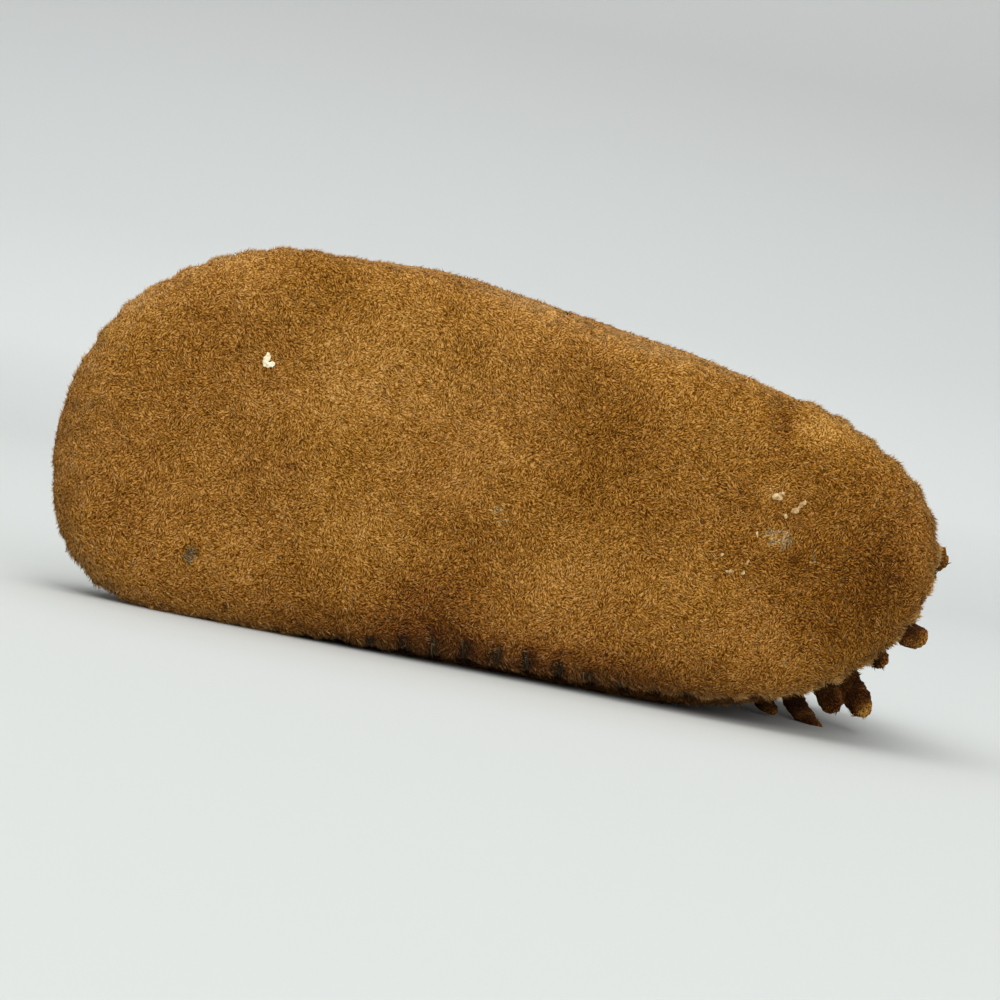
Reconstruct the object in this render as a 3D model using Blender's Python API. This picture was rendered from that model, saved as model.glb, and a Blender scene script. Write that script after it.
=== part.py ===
"""A toddler's moccasin bootie for the left foot, in rough suede, lying on its inner side.

Shoe axes, used by every form below: along runs from toe to heel, across points to the outer side
of the foot, and up runs from the sole to the collar. rest() turns these into the world, where the
toe is at -X, the sole faces -Y and the inner side lies on the floor at z = 0.
Sizes are in metres, and a turn goes once round the foot: 0 toe, 0.25 outer side, 0.5 heel, 0.75 inner side.
"""

import math
from typing import NamedTuple

import bmesh
import bpy
from mathutils import Matrix, Vector

# Driving sizes
LENGTH = 0.150
SHAFT_WIDTH = 0.048
COLLAR_HEIGHT = 0.086
SOLE_WALL = 0.0020
UPPER_WALL = 0.0016
CUFF_WALL = 0.0014
INSOLE_WALL = 0.0012
GAP = 0.0003  # between one piece and the next

# Sole
EDGE_RUN = 0.0090  # width of the rounded edge, inwards from the outline
EDGE_RISE = 0.0060  # height at which the rounded edge stands upright
SEAM_AT_TOE = 0.0110
SEAM_AT_SIDE = 0.0082
LIP_LEAN = 0.0008  # how far the seam pulls the top of the cup inwards
TOE_LEAN = 0.0012  # what the cup leans further in round the toe
TOE_SPRING = 0.0030
SPRING_REACH = 0.28  # share of the length over which the toe rises
ARCH_LIFT = 0.0012
ARCH_START = (0.38, 0.55)  # shares of the length between which it rises to its full height
ARCH_STOP = (0.58, 0.76)
TOE_WRAP = (0.02, 0.22)  # shares of the length between which the seam comes down from its height at the toe
BOTTOM_RINGS = (0.0, 0.5, 0.85, 1.0)  # shares of the way out from the centre line to the rounded edge
EDGE_BENDS = tuple(math.radians(bend) for bend in (22, 44, 66, 90))  # the rounded edge's rings
LIP_RINGS = (0.45, 1.0)  # shares of the way up from the rounded edge to the seam
INSOLE_INSET = 0.0060  # from the sole's outline to the insole's edge
INSOLE_SLACK = 0.00015  # what the insole needs over the gap, because the sole curves up under its edge
CENTRE_LINE_ENDS = (0.17, 0.86)  # shares of the length between which the bottom's rings close

# Upper
TUCK = 0.0030  # how far its lower edge reaches down inside the sole
TUCK_RINGS = (1.0, 0.4, 0.0)  # shares of that depth
CLEAR_FROM = 0.60  # level over which the shaft draws in, to leave the cuff its place over the floor
MOC_SEAM_RAISE = 0.0009
MOC_SEAM_LEVEL = 0.30  # level of the raised seam over the toes, as in UPPER
MOC_SEAM_HALF = 0.015  # half its width, in levels
MOC_SEAM_FADE = (0.36, 0.52)  # shares of a ring's length between which it dies out

# Cuff and fringe
CUFF_SLACK = 0.0003  # what the cuff stands further off the upper
CUFF_TOP = 0.985  # levels, as in UPPER
CUFF_FOOT = 0.80
STRIPS = 40
SLIT = 0.11  # share of a strip's pitch that is cut away beside it
STRIP_STEPS = 6
STRIP_FOOT = 0.40  # level at which a plain strip ends
STRIP_CLEAR = 0.0008  # what a strip stands further off the upper than the band
STRIP_WIDTH = 0.0045
STRIP_TAPER = 0.25  # share of its width that a strip loses at its end
STRIP_LEAVES = 1 / 3  # share of its length over which a strip reaches its clearance
SIDE_HANGS = 1.1  # over 1, so that even the side strips keep a little of their way round the shoe
SWAY_STEP = 2.4  # radians from a plain strip's sway to the next one's
FOOT_SWAY = 0.02
PLAIN_SPLAY = 0.0012
SPLAY_SWAY = 0.0008
DRIFT_SWAY = 0.003

# How it lies: tipped on its inner side until sole, upper and cuff all touch the floor and give a little
LIE_ROLL = math.radians(3.6)
LIE_TURN = math.radians(-0.3)
CENTRE_HEIGHT = 0.0302  # of the foot's centre line over the floor
BOX_MIDDLE_ALONG = 0.0030  # from the middle of the sole to the middle of the whole shoe, fringe included
BOX_MIDDLE_UP = 0.0431
LYING = (
    Matrix.Translation((-BOX_MIDDLE_ALONG, -BOX_MIDDLE_UP, CENTRE_HEIGHT))
    @ Matrix.Rotation(-LIE_ROLL, 4, "X")
    @ Matrix.Rotation(LIE_TURN, 4, "Y")
)

COLUMNS = 60  # points round every ring


class Section(NamedTuple):
    """The sole's outline at one place along the foot."""

    at: float  # share of the length, from the toe
    fullness: float  # half the width, over LENGTH * sqrt(at * (1 - at))
    swing: float  # centre line towards the inner side, share of the length


OUTLINE = (
    Section(0.00, 0.740, 0.022),
    Section(0.10, 0.612, 0.005),
    Section(0.20, 0.535, -0.014),
    Section(0.30, 0.469, -0.020),
    Section(0.40, 0.430, -0.020),
    Section(0.50, 0.405, -0.016),
    Section(0.60, 0.401, -0.009),
    Section(0.70, 0.408, -0.003),
    Section(0.80, 0.431, 0.002),
    Section(0.90, 0.462, 0.001),
    Section(1.00, 0.480, -0.010),
)


class Ring(NamedTuple):
    """One ring of the upper, from the sole's seam (level 0) to the collar (level 1)."""

    level: float
    front: float  # its foremost point, share of the length
    front_rise: float  # height over the seam there, share of the collar's height
    back: float
    back_rise: float
    toe_girth: float  # width against the sole's, at the ring's front, middle and back
    waist_girth: float
    heel_girth: float
    roundness: float  # 0 has the foot's outline, 1 the shaft's ellipse


UPPER = (
    Ring(0.00, 0.010, 0.014, 0.988, 0.014, 0.920, 1.000, 0.975, 0.00),
    Ring(0.07, 0.006, 0.052, 0.998, 0.058, 0.900, 1.055, 0.995, 0.00),
    Ring(0.16, 0.014, 0.116, 1.001, 0.134, 0.890, 1.055, 0.990, 0.00),
    Ring(0.26, 0.047, 0.186, 0.998, 0.215, 0.865, 0.980, 0.970, 0.05),
    Ring(0.38, 0.120, 0.248, 0.990, 0.308, 0.820, 0.860, 0.940, 0.20),
    Ring(0.50, 0.227, 0.314, 0.980, 0.401, 0.760, 0.790, 0.900, 0.45),
    Ring(0.62, 0.333, 0.403, 0.972, 0.512, 0.720, 0.740, 0.870, 0.70),
    Ring(0.74, 0.413, 0.516, 0.967, 0.628, 0.700, 0.720, 0.860, 0.90),
    Ring(0.86, 0.460, 0.665, 0.965, 0.762, 0.700, 0.710, 0.850, 1.00),
    Ring(1.00, 0.473, 0.907, 0.968, 0.907, 0.700, 0.710, 0.850, 1.00),
)
UPPER_LEVELS = (0.0, 0.035, 0.07, 0.115, 0.16, 0.21, 0.26, 0.285, 0.30, 0.315)  # up to the raised seam
UPPER_LEVELS += (0.35, 0.40, 0.45, 0.51, 0.57, 0.64, 0.71, 0.79, 0.89, 1.0)


class Strip(NamedTuple):
    """How a strip of the fringe hangs."""

    number: int  # strips are counted round from the toe, over the outer side first
    foot: float  # level at which it ends
    splay: float  # how far its end stands off the shoe, metres
    drift: float  # how far its end swings round the shoe, turns


LOOSE_STRIPS = (
    Strip(16, 0.39, 0.0016, 0.002),
    Strip(17, 0.37, 0.0010, 0.004),
    Strip(18, 0.41, 0.0008, 0.000),
    Strip(19, 0.36, 0.0046, 0.000),
    Strip(20, 0.41, 0.0004, 0.000),
    Strip(21, 0.35, 0.0054, 0.000),
    Strip(22, 0.37, 0.0032, 0.000),
    Strip(23, 0.34, 0.0086, 0.001),
    Strip(24, 0.37, 0.0062, -0.006),
    Strip(25, 0.34, 0.0105, -0.008),
    Strip(26, 0.37, 0.0060, -0.008),
    Strip(27, 0.39, 0.0010, -0.002),
)


def between(table, at):
    """The table's row at any place, on a smooth curve through its own rows."""
    last = len(table) - 1
    low = max(0, min(last - 1, sum(row[0] <= at for row in table) - 1))
    rows = [table[max(0, min(last, low + step))] for step in (-1, 0, 1, 2)]
    before, start, end, after = rows
    span = end[0] - start[0]
    share = (at - start[0]) / span
    values = [at]
    for column in range(1, len(start)):
        leave = (end[column] - before[column]) / (end[0] - before[0]) * span
        arrive = (after[column] - start[column]) / (after[0] - start[0]) * span
        values.append(
            start[column] * (2 * share**3 - 3 * share**2 + 1)
            + end[column] * (3 * share**2 - 2 * share**3)
            + leave * (share**3 - 2 * share**2 + share)
            + arrive * (share**3 - share**2)
        )
    return type(start)(*values)


def fade(value, start, end):
    """0 at start, 1 at end, with soft ends."""
    share = max(0.0, min(1.0, (value - start) / (end - start)))
    return share * share * (3 - 2 * share)


def from_toe(turn):
    """Share of a ring's length at this turn."""
    return (1 - math.cos(2 * math.pi * turn)) / 2


def outline(turn, inset=0.0):
    """(along, across) on the sole's outline, moved in by inset."""

    def plain(here):
        at = from_toe(here)
        section = between(OUTLINE, at)
        side = math.sin(2 * math.pi * here) / 2
        return Vector((at, section.fullness * side - section.swing)) * LENGTH

    step = 1e-3
    tangent = (plain(turn + step) - plain(turn - step)).normalized()
    inwards = Vector((tangent.y, -tangent.x))
    return plain(turn) + inwards * inset


def ground(at):
    """Height of the sole's bottom: toe spring and arch."""
    spring = TOE_SPRING * max(0.0, 1 - at / SPRING_REACH) ** 2
    arch = ARCH_LIFT * fade(at, *ARCH_START) * (1 - fade(at, *ARCH_STOP))
    return spring + arch


def seam_height(at):
    """Height of the seam between sole and upper, which climbs round the toe."""
    return ground(at) + SEAM_AT_SIDE + (SEAM_AT_TOE - SEAM_AT_SIDE) * (1 - fade(at, *TOE_WRAP))


def lip_lean(at):
    """How far the seam stands in from the sole's outline."""
    return LIP_LEAN + TOE_LEAN * (1 - fade(at, *TOE_WRAP))


def sole_surface(turn, inset):
    """Point of the sole's outer side, on its bottom or its rounded edge."""
    along, across = outline(turn, inset)
    bend = max(0.0, 1 - inset / EDGE_RUN)
    height = EDGE_RISE * (1 - math.sqrt(1 - bend * bend))
    return Vector((along, across, ground(from_toe(turn)) + height))


def centre_line(turn):
    """Point on the bottom's centre line, which its rings shrink onto."""
    at = max(CENTRE_LINE_ENDS[0], min(CENTRE_LINE_ENDS[1], from_toe(turn)))
    return Vector((at * LENGTH, -between(OUTLINE, at).swing * LENGTH, ground(at)))


def turns():
    """The turns of a ring's points."""
    return [column / COLUMNS for column in range(COLUMNS)]


def bottom_rings(inset, shares):
    """Rings from the centre line out to this inset; a share of 0 is the centre line itself."""
    edge = [sole_surface(turn, inset) for turn in turns()]
    middle = [centre_line(turn) for turn in turns()]
    return [[low.lerp(high, share) for low, high in zip(middle, edge)] for share in shares]


def upper_surface(turn, level, out=0.0):
    """Point of the upper's outer side, moved out by out."""

    def plain(turn, level):
        ring = between(UPPER, level)
        share = from_toe(turn)
        at = ring.front + (ring.back - ring.front) * share
        girth = (
            ring.toe_girth * (1 - share) * (1 - 2 * share)
            + ring.waist_girth * 4 * share * (1 - share)
            + ring.heel_girth * share * (2 * share - 1)
        )
        foot = between(OUTLINE, share).fullness * LENGTH * girth
        width = foot * (1 - ring.roundness) + SHAFT_WIDTH * ring.roundness
        swing = between(OUTLINE, max(0.0, min(1.0, at))).swing * LENGTH * (1 - ring.roundness)
        rise = ring.front_rise * (1 - share) + ring.back_rise * share
        seam = seam_height(share) * (1 - level) + SEAM_AT_SIDE * level
        return Vector(
            (at * LENGTH, width * math.sin(2 * math.pi * turn) / 2 - swing, seam + rise * COLLAR_HEIGHT)
        )

    raised = math.exp(-(((level - MOC_SEAM_LEVEL) / MOC_SEAM_HALF) ** 2))
    out += MOC_SEAM_RAISE * raised * (1 - fade(from_toe(turn), *MOC_SEAM_FADE))
    if not out:
        return plain(turn, level)
    step = 2e-3
    around = plain(turn + step, level) - plain(turn - step, level)
    upwards = plain(turn, min(1.0, level + step)) - plain(turn, max(0.0, level - step))
    return plain(turn, level) + upwards.cross(around).normalized() * out


def metres_per_turn(turn, level):
    """Length along the upper's ring at this place, for each turn."""
    step = 5e-3
    return (upper_surface(turn + step, level) - upper_surface(turn - step, level)).length / (2 * step)


def rest(point, clear=0.0):
    """The point in the world, with the shoe lying on its inner side, at least clear above the floor."""
    along, across, up = point
    placed = LYING @ Vector((along - LENGTH / 2, up, across))
    placed.z = max(placed.z, clear)
    return placed


def paint(name, colour, roughness):
    """A plain finish."""
    material = bpy.data.materials.new(name)
    material.use_nodes = True
    shader = material.node_tree.nodes["Principled BSDF"]
    shader.inputs["Base Color"].default_value = (*colour, 1)
    shader.inputs["Roughness"].default_value = roughness
    shader.inputs["Metallic"].default_value = 0.0
    return material


def piece(name, mesh, wall, material):
    """An object from an open sheet that is its outer side, with its wall added inwards."""
    bmesh.ops.remove_doubles(mesh, verts=mesh.verts, dist=1e-6)
    bmesh.ops.dissolve_degenerate(mesh, edges=mesh.edges, dist=1e-6)
    data = bpy.data.meshes.new(name)
    mesh.to_mesh(data)
    mesh.free()
    data.materials.append(material)
    data.shade_smooth()
    data.set_sharp_from_angle(angle=math.radians(50))
    thing = bpy.data.objects.new(name, data)
    bpy.context.collection.objects.link(thing)
    solidify = thing.modifiers.new("wall", "SOLIDIFY")
    solidify.thickness = wall
    solidify.offset = -1
    solidify.use_even_offset = True
    solidify.use_quality_normals = True
    return thing


def add_band(mesh, rings):
    """Faces through the rings, which run from the sole to the collar. Returns the rings' vertices."""
    rows = [[mesh.verts.new(point) for point in ring] for ring in rings]
    for low, high in zip(rows, rows[1:]):
        for column, vertex in enumerate(low):
            beside = (column + 1) % len(low)
            mesh.faces.new((vertex, low[beside], high[beside], high[column]))
    return rows


def hollow_piece(name, rings, wall, material):
    """A piece whose outer side is one band through the rings."""
    mesh = bmesh.new()
    add_band(mesh, rings)
    return piece(name, mesh, wall, material)


def make_sole(material):
    """A cup of suede: bottom, rounded edge, and a lip that leans in to the seam."""
    rings = bottom_rings(EDGE_RUN, BOTTOM_RINGS)
    for bend in EDGE_BENDS:
        inset = EDGE_RUN * (1 - math.sin(bend))
        rings.append([sole_surface(turn, inset) for turn in turns()])
    for share in LIP_RINGS:
        lip = []
        for turn in turns():
            at = from_toe(turn)
            along, across = outline(turn, lip_lean(at) * share**2)
            low = ground(at) + EDGE_RISE
            lip.append(Vector((along, across, low + (seam_height(at) - low) * share)))
        rings.append(lip)
    return hollow_piece("sole", [[rest(point) for point in ring] for ring in rings], SOLE_WALL, material)


def make_insole(material):
    """A thin sock that lies in the cup, inside the upper's tucked edge."""
    rings = bottom_rings(EDGE_RUN, (0.0, 0.5, 1.0))
    rings.append([sole_surface(turn, INSOLE_INSET) for turn in turns()])
    lift = Vector((0, 0, SOLE_WALL + GAP + INSOLE_SLACK))
    placed = [[rest(point + lift) for point in ring] for ring in rings]
    return hollow_piece("insole", placed, INSOLE_WALL, material)


def make_upper(material):
    """One hollow wall from inside the sole's lip up to the open collar."""
    rings = []
    for share in TUCK_RINGS:
        tucked = []
        for turn in turns():
            at = from_toe(turn)
            along, across = outline(turn, lip_lean(at) + SOLE_WALL + GAP)
            tucked.append(Vector((along, across, seam_height(at) - TUCK * share)))
        rings.append(tucked)
    rings += [[upper_surface(turn, level) for turn in turns()] for level in UPPER_LEVELS]
    under_cuff = CUFF_WALL + CUFF_SLACK + GAP
    clear = [0.0] * len(TUCK_RINGS)
    clear += [under_cuff * fade(level, CLEAR_FROM, CUFF_FOOT) for level in UPPER_LEVELS]
    placed = [[rest(point, above) for point in ring] for ring, above in zip(rings, clear)]
    return hollow_piece("upper", placed, UPPER_WALL, material)


def strip_at(number):
    """How the strip of this number hangs: as in the table, or else close to the shoe."""
    for strip in LOOSE_STRIPS:
        if strip.number == number:
            return strip
    sway = math.sin(number * SWAY_STEP)
    return Strip(number, STRIP_FOOT + FOOT_SWAY * sway, PLAIN_SPLAY + SPLAY_SWAY * sway, DRIFT_SWAY * sway)


def straight_down(turn, level):
    """How far round a strip from the cuff swings to hang straight; those at the front lie forwards."""
    top, here = between(UPPER, CUFF_FOOT), between(UPPER, level)
    at = top.front + (top.back - top.front) * from_toe(turn)
    share = max(0.0, min(1.0, (at - here.front) / (here.back - here.front)))
    straight = math.acos(1 - 2 * share) / (2 * math.pi)
    side = abs(math.sin(2 * math.pi * turn))
    swing = (straight - min(turn, 1 - turn)) * fade(side, 0.0, SIDE_HANGS)
    return swing if turn < 0.5 else -swing


def make_cuff(material):
    """A band round the collar whose lower part is cut into strips."""
    mesh = bmesh.new()
    edges = []
    for strip in range(STRIPS):
        edges += [strip / STRIPS, (strip + 1 - SLIT) / STRIPS]
    levels = (CUFF_FOOT, (CUFF_FOOT + CUFF_TOP) / 2, CUFF_TOP)
    out = GAP + CUFF_WALL + CUFF_SLACK
    rows = add_band(mesh, [[rest(upper_surface(turn, level, out)) for turn in edges] for level in levels])
    for strip in range(STRIPS):
        left, right = rows[0][2 * strip], rows[0][2 * strip + 1]
        root = (edges[2 * strip] + edges[2 * strip + 1]) / 2
        hang = strip_at(strip)
        for step in range(1, STRIP_STEPS + 1):
            share = step / STRIP_STEPS
            level = CUFF_FOOT + (hang.foot - CUFF_FOOT) * share
            turn = root + straight_down(root, level) + hang.drift * share
            stand = out + STRIP_CLEAR * min(1.0, share / STRIP_LEAVES) + hang.splay * share**1.5
            width = STRIP_WIDTH * (1 - STRIP_TAPER * (step == STRIP_STEPS))
            half = width / 2 / metres_per_turn(turn, level)
            sides = (turn - half, turn + half)
            low = [mesh.verts.new(rest(upper_surface(side, level, stand))) for side in sides]
            mesh.faces.new((low[0], low[1], right, left))
            left, right = low
    return piece("fringe_cuff", mesh, CUFF_WALL, material)


def main():
    for thing in list(bpy.data.objects):
        bpy.data.objects.remove(thing, do_unlink=True)
    make_sole(paint("sole_suede", (0.27, 0.12, 0.025), 0.95))
    make_upper(paint("upper_suede", (0.22, 0.095, 0.022), 0.95))
    make_cuff(paint("fringe_suede", (0.23, 0.10, 0.022), 0.95))
    make_insole(paint("insole_suede", (0.30, 0.15, 0.05), 0.95))


main()
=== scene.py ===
"""A toddler's moccasin bootie for the left foot, in rough suede, lying on its inner side.

Shoe axes, used by every form below: along runs from toe to heel, up from the sole to the collar,
and across to the outer side of the foot. They start in the middle of the sole's bottom. TO_WORLD
turns them into the world, where the toe is at -X, the sole faces -Y and the inner side lies on the
floor at z = 0. Sizes are in metres.
"""

import math
from typing import NamedTuple

import bpy
import numpy as np
from mathutils import Matrix, Vector, noise
from mathutils.bvhtree import BVHTree
from mathutils.kdtree import KDTree

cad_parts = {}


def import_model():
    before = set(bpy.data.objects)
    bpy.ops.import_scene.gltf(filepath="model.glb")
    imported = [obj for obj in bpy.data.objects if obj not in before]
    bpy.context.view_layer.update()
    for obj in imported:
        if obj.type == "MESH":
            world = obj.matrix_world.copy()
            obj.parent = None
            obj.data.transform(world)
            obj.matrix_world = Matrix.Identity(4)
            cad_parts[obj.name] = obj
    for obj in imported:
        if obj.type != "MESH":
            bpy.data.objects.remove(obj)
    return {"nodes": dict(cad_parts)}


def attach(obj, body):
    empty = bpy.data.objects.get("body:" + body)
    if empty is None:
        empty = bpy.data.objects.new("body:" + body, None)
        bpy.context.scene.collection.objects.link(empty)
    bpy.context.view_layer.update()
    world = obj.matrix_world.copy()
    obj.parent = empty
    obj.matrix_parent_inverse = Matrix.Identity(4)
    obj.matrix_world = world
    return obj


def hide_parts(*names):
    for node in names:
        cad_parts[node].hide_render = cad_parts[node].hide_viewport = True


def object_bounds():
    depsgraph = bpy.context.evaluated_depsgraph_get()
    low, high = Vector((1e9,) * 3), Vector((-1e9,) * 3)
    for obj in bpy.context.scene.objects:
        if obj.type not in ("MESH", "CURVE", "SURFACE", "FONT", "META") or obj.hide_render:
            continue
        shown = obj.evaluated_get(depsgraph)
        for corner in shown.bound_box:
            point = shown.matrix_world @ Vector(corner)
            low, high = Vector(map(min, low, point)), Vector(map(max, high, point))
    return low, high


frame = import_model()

CAD_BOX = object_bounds()
MM = 0.001

# How the shoe lies, as its solids do
LIE_ROLL = math.radians(3.6)
LIE_TURN = math.radians(-0.3)
SOLE_MIDDLE = Vector((-0.0030, -0.0431, 0.0302))
TO_WORLD = (
    Matrix.Translation(SOLE_MIDDLE)
    @ Matrix.Rotation(-LIE_ROLL, 4, "X")
    @ Matrix.Rotation(LIE_TURN, 4, "Y")
)
TO_SHOE = TO_WORLD.inverted()
WORLD_ROWS = np.array(TO_WORLD)
SHOE_ROWS = np.array(TO_SHOE)

# Lines inside the shoe, (along, up, across): what faces away from them is outside
CORE = np.array([(-52, 16, 0), (28, 22, 0), (33, 90, 0)]) * MM

# How finely each skin is rebuilt
SOLE_FACE = 0.80 * MM
UPPER_FACE = 1.15 * MM
CUFF_FACE = 0.65 * MM
INSOLE_FACE = 0.90 * MM
INSOLE_KEPT = 0.35  # share of its faces that the plain insole keeps

# The thread's strands, which cross and stray
STRAND_RADIUS = 0.13 * MM
STRAND_SIDES = 4
STRAND_PITCH = 0.30 * MM
STRAND_WOBBLE = 0.11 * MM  # at each bite
STRAND_STRAY = 0.24 * MM  # at the ends
STRAND_BOW = 0.42 * MM  # in the middle

# Whip stitches along the sole's seam
WHIP_STRANDS = 6
EDGE_HEIGHT = 6 * MM  # where the sole's rounded edge stands upright
STITCH_PITCH = 5.75 * MM
STITCH_SLANT = 0.9 * MM
DENT_DEPTH = 0.42 * MM
DENT_REACH = 1.5 * MM
PUCKER_DEPTH = 0.50 * MM
PUCKER_REACH = 1.7 * MM
PUCKER_SWELL = 0.35  # share of its depth by which the sole swells between stitches
PUCKER_START = 2 * MM  # heights over the sole between which the puckers deepen
PUCKER_END = 7 * MM
SOIL_REACH = 1.4 * MM  # how far the thread's dark wax has spread

# Seam round the top of the toe, with a raised edge, a groove at its foot, and gathers
TOE_SEAM_PITCH = 5.6 * MM
TOE_SEAM_POINTS = 181
TOE_SEAM_BACK = -33 * MM  # along: where its two sides end
TOE_SEAM_LENGTH = 32 * MM  # from there to the tip
TOE_SEAM_MIDDLE = -1.4 * MM  # across: where its tip is
TOE_SEAM_OUTER = 33 * MM  # half widths on the outer and the inner side
TOE_SEAM_INNER = 25.5 * MM
TOE_SEAM_UP = 27.5 * MM  # at the ends
TOE_SEAM_CLIMB = 3.5 * MM  # what the tip lies higher
TOE_STRANDS = 4
TOE_RIDGE = 1.7 * MM  # how high its edge stands, and how far that reaches
TOE_GROOVE_OFF = 2.9 * MM  # how far the groove runs from it
TOE_GROOVE_DEPTH = 0.7 * MM
TOE_GROOVE_REACH = 1.3 * MM
GATHER_LENGTH = 11 * MM
GATHER_DEPTH = 1.3 * MM
GATHER_REACH = 2.0 * MM

# Collar and cuff, in heights over the sole
COLLAR_SEAM_HEIGHT = 82 * MM
COLLAR_SEAM_PITCH = 5.4 * MM
COLLAR_STRANDS = 2
COLLAR_RIM = 83.3 * MM
RIM_TRIM = 0.85  # share taken off what stands above the rim
BAND_FOOT = 72.5 * MM  # below this the cuff is all strips
SLIT_DEPTH = 1.1 * MM
SLIT_REACH = 0.6 * MM
STRIP_EDGE = 2.5 * MM  # shortest edge that counts as a strip's
STRIP_POINTS = 14

# Nap: short rows of fibres that cling together
TUFT_FIBRES = 3
TUFT_LENGTH = 0.75 * MM
TUFT_WIDTH = 0.20 * MM
ROOT_DEPTH = 0.12 * MM
TUFT_WARMTH = 0.08  # how much tufts differ in warmth
FIBRE_TONE = 0.07  # and the fibres of one tuft in tone
COARSE_LENGTH = 0.3  # how much longer coarse nap's fibres are
COARSE_CONTRAST = 0.8  # how much more they differ in tone from root to tip, as painted shade at the root and painted light at the tip
COARSE_SPREAD = 0.9  # and from one tuft to the next
CURLED_SHARE = 0.26  # of coarse nap's tufts, those that have curled up into the light
CURLED_TONE = 0.42
CURLED_WARMTH = -0.22
SHADED_TONE = -0.09  # of the tufts between them

# Wear on edges and painted shade in creases, and the suede's own grain
EDGE_CREASE_SPREAD = 2
EDGE_CREASE_DEPTH = 0.10 * MM
SHEEN = (1.0, 0.62, 0.26, 1.0)
GRAIN_FINENESS = 4500.0
GRAIN_BUMP = 0.5
GRAIN_HEIGHT = 0.2 * MM
GRAIN_CURLS = 1400.0
GRAIN_BEND = 0.5 * MM  # how far the grain's strokes curl
GRAIN_STEP = 0.068 * MM  # a quarter of a stroke's length
GRAIN_LOW = 1.9  # where its five samples' sum is darkest, and where lightest
GRAIN_HIGH = 3.1
GRAIN_CONTRAST = 0.32  # tone

# How high grey, golden and maroon lie on the colour chart
CHART_GREY = 0.06
CHART_GOLDEN = 0.30
CHART_MAROON = 0.96
GREY_END = 0.14  # grey gives way to golden from here
GOLDEN_START = 0.22  # to here

# Dried flecks
FLECK_HALF = 0.17 * MM  # half their thickness
FLECK_RISE = 0.42 * MM  # from the sole to their middles
FLECK_LUMP = 0.45 * MM  # size of the lumps on them, and how far these stand out
FLECK_BUMP = 0.26 * MM
FLECK_STAINS = 1300.0  # fineness of their stains

# Camera, and the paper that the shoe lies on
LENS = 120  # millimetres
CAMERA_DISTANCE = 0.5546
CAMERA_ELEVATION = math.radians(1.5)
CAMERA_ROLL = math.radians(11.1)
AIM_SHIFT = -2.3 * MM
AIM_HEIGHT = 0.45  # share of the shoe's height
PAPER_FRONT = -3.0
PAPER_BACK = 1.2
PAPER_TOP = 3.0
PAPER_WIDTH = 6.0
PAPER_BEND = 0.5
PAPER_STEPS = 16
PAPER_FADE = 0.34  # height over which its painted light and shade change


# ---------------------------------------------------------------- places and points


def world(points):
    """Rows of shoe coordinates in the world."""
    return points @ WORLD_ROWS[:3, :3].T + WORLD_ROWS[:3, 3]


def shoe(points):
    """Rows of world coordinates on the shoe's own axes."""
    return points @ SHOE_ROWS[:3, :3].T + SHOE_ROWS[:3, 3]


def unit(rows):
    """The rows at length 1."""
    return rows / np.maximum(np.linalg.norm(rows, axis=1, keepdims=True), 1e-12)


def fade(values, start, end):
    """0 at start, 1 at end, with soft ends."""
    share = np.clip((values - start) / (end - start), 0, 1)
    return share * share * (3 - 2 * share)


def rumple(points, size, seed, octaves=1):
    """Smooth noise over the points, from -1 to 1, in lumps of this size."""
    shift = Vector((seed * 7.31, seed * 3.17, seed * 5.03))
    total = np.zeros(len(points))
    for octave in range(octaves):
        scale = 2**octave / size
        rows = (points * scale).tolist()
        total += np.array([noise.noise(Vector(row) + shift) for row in rows]) / 2**octave
    return total


def between(stations, run, rows):
    """Rows at these stations, on straight lines between the rows that lie at run."""
    return np.stack([np.interp(stations, run, column) for column in rows.T], axis=1)


def from_core(points):
    """Vectors to world points from the nearest place on the shoe's inner lines."""
    here = shoe(points)
    best = None
    for start, end in zip(CORE, CORE[1:]):
        run = end - start
        share = np.clip((here - start) @ run / (run @ run), 0, 1)
        away = here - (start + share[:, None] * run)
        if best is None:
            best = away
        else:
            nearer = np.linalg.norm(away, axis=1) < np.linalg.norm(best, axis=1)
            best = np.where(nearer[:, None], away, best)
    return best @ WORLD_ROWS[:3, :3].T


# ---------------------------------------------------------------- meshes


def only(thing):
    """Makes one object the selected and active one."""
    bpy.ops.object.select_all(action="DESELECT")
    thing.select_set(True)
    bpy.context.view_layer.objects.active = thing


def applied(thing, kind, **settings):
    """Adds a modifier with these settings and applies it."""
    only(thing)
    modifier = thing.modifiers.new(kind.lower(), kind)
    for name, value in settings.items():
        setattr(modifier, name, value)
    bpy.ops.object.modifier_apply(modifier=modifier.name)


def points_of(mesh):
    """A mesh's points as rows of world coordinates."""
    rows = np.empty(len(mesh.vertices) * 3)
    mesh.vertices.foreach_get("co", rows)
    return rows.reshape(-1, 3)


def normals_of(mesh):
    rows = np.empty(len(mesh.vertices) * 3, np.float32)
    mesh.vertex_normals.foreach_get("vector", rows)
    return rows.reshape(-1, 3).astype(float)


def move_points(thing, points):
    """Puts a piece's points here, and none of them below the floor."""
    points[:, 2] = np.maximum(points[:, 2], 0.0)
    thing.data.vertices.foreach_set("co", points.ravel())
    thing.data.update()


def plain_copy(node, name):
    """A piece with a CAD node's own few faces, joined and squared up."""
    thing = bpy.data.objects.new(name, frame["nodes"][node].data.copy())
    bpy.context.collection.objects.link(thing)
    thing.data.materials.clear()
    only(thing)
    bpy.ops.object.mode_set(mode="EDIT")
    bpy.ops.mesh.select_all(action="SELECT")
    bpy.ops.mesh.remove_doubles(threshold=1e-5)
    bpy.ops.mesh.tris_convert_to_quads(face_threshold=1.2, shape_threshold=1.2)
    bpy.ops.object.mode_set(mode="OBJECT")
    return thing


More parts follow.
